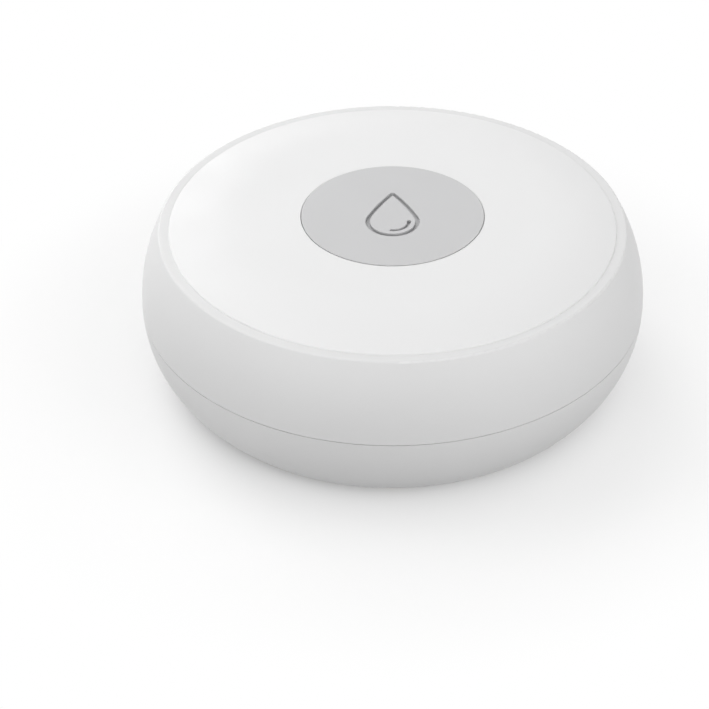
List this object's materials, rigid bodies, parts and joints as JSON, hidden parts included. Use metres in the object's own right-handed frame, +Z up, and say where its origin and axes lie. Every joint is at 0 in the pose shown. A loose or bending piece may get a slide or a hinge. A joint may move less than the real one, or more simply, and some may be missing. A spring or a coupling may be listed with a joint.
{
  "type": "water leak sensor",
  "caption": "Round white floor puck that senses a water leak at metal feet under it, with a grey press button in its crowned top and a twist-off battery door below.",
  "frame": {"origin": "centre of the puck on the surface that its metal feet stand on", "axes": "+Z up along the puck's axis; the drop symbol on the button points to +Y"},
  "size_m": [0.066, 0.066, 0.0252],
  "materials": {
    "shell_white": "satin moulded white",
    "button_grey": "satin light grey",
    "seal_rubber": "matte",
    "board_green": "solder mask",
    "shield_metal": "tinned, satin",
    "ceramic": "fired ceramic",
    "chip_black": "moulded epoxy",
    "plunger_grey": "moulded",
    "led_lens": "clear resin on a white body",
    "holder_ivory": "moulded",
    "cell_steel": "nickel-plated, brushed",
    "contact_gold": "gold-plated spring metal",
    "probe_metal": "gold-plated, polished",
    "screw_steel": "zinc-plated"
  },
  "bodies": {
    "housing": {"upper_shell": "shell_white", "top_cover": "shell_white", "base_shell": "shell_white", "button_seal": "seal_rubber", "shell_seal": "seal_rubber", "probe_seals": "seal_rubber", "switch_body": "chip_black", "main_pcb": "board_green", "radio_board": "board_green", "radio_shield": "shield_metal", "chip_antenna": "ceramic", "controller_chip": "chip_black", "crystal": "shield_metal", "storage_capacitor": "shield_metal", "status_led": "led_lens", "battery_holder": "holder_ivory", "coin_cell": "cell_steel", "positive_contact": "contact_gold", "negative_contact": "contact_gold", "probe_contacts": "contact_gold", "probe_feet": "probe_metal", "probe_retainers": "screw_steel", "base_screws": "screw_steel", "pcb_screws": "screw_steel"},
    "button": {"button_cap": "button_grey", "switch_plunger": "plunger_grey"},
    "door": {"battery_door": "shell_white", "door_seal": "seal_rubber"}
  },
  "joints": [
    {"name": "button_press", "type": "slide", "parent": "housing", "child": "button", "axis": [0, 0, -1], "range_m": [0, 0.0005], "stiffness_N_per_m": 3000},
    {"name": "battery_door_twist", "type": "hinge", "parent": "housing", "child": "door", "pos_m": [0, 0, 0.002], "axis": [0, 0, -1], "range_deg": [0, 35]}
  ]
}
